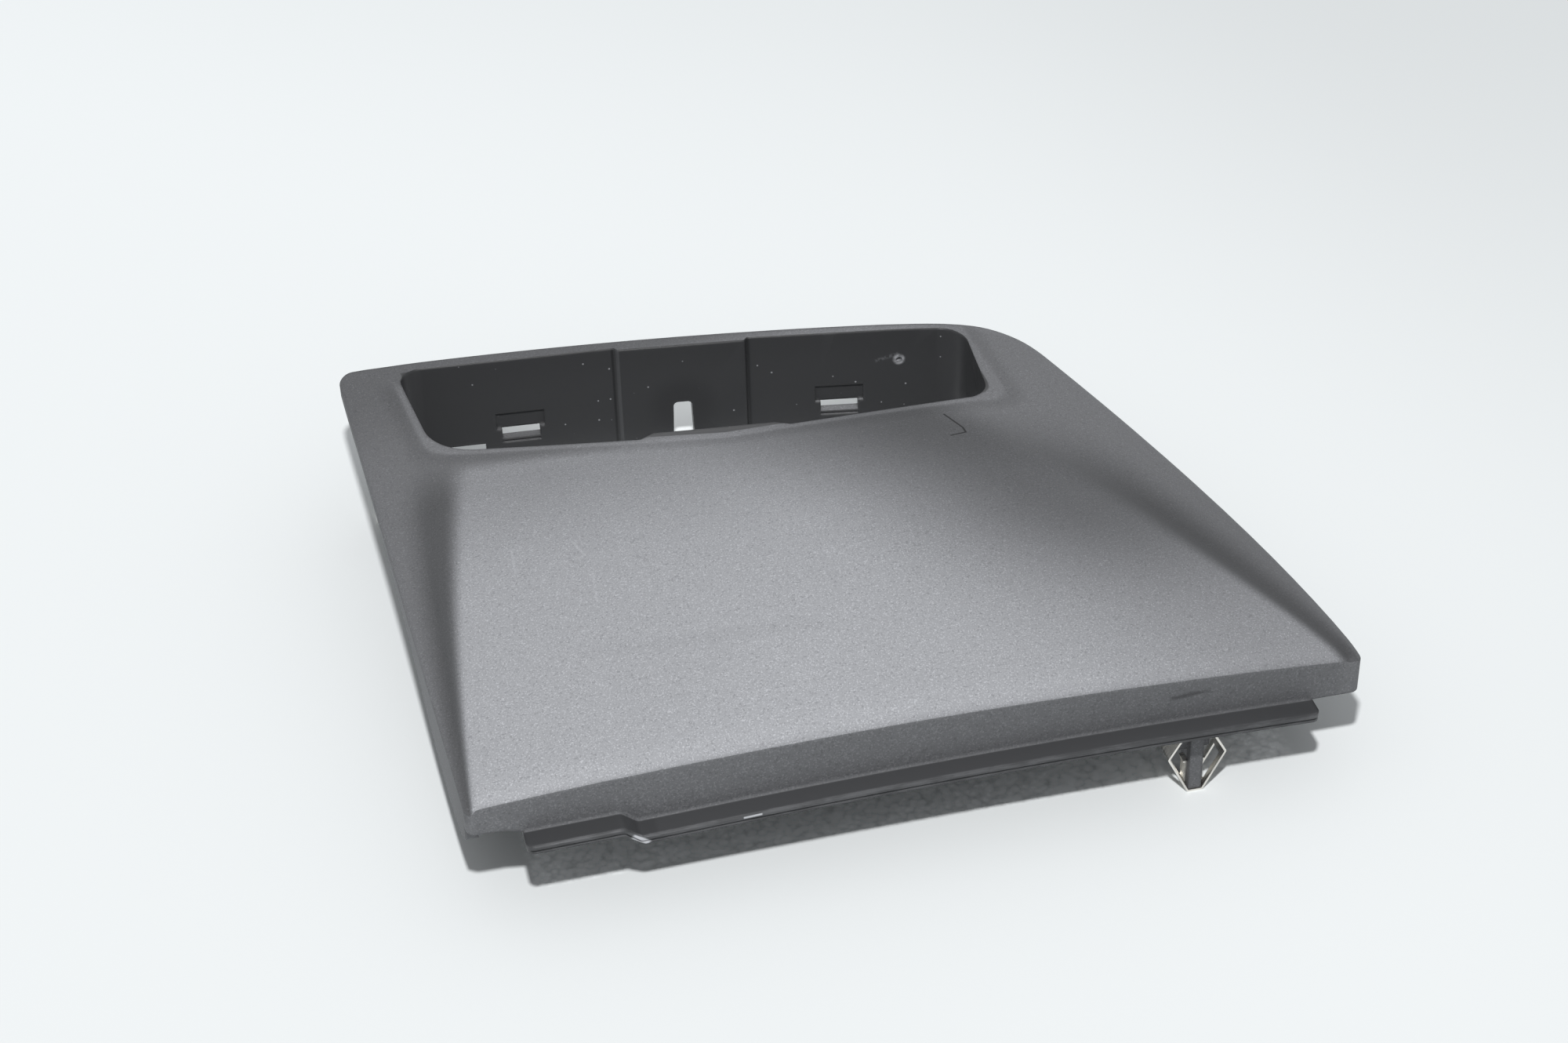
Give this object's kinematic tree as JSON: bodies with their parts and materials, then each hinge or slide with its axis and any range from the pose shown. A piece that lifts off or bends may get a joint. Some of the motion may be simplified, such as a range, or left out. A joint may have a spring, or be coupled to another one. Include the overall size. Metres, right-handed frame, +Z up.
{
  "type": "headlight switch trim",
  "caption": "Crowned dashboard trim panel with a wide stepped switch opening, swept side facets, a jogged front flange and folded spring-steel clips underneath.",
  "frame": {"origin": "centre of the plan on the resting plane, under the panel", "axes": "+X along the front edge to the right, +Y from the front band to the rear rim, +Z up out of the dashboard"},
  "size_m": [0.1988, 0.1676, 0.0405],
  "materials": {
    "panel_plastic": "satin",
    "clip_steel": "satin"
  },
  "bodies": {
    "root": {"trim_moulding": "panel_plastic", "spring_clip_front_right": "clip_steel", "spring_clip_front_left": "clip_steel", "spring_clip_rear_left": "clip_steel", "spring_clip_rear_right": "clip_steel"}
  },
  "joints": []
}
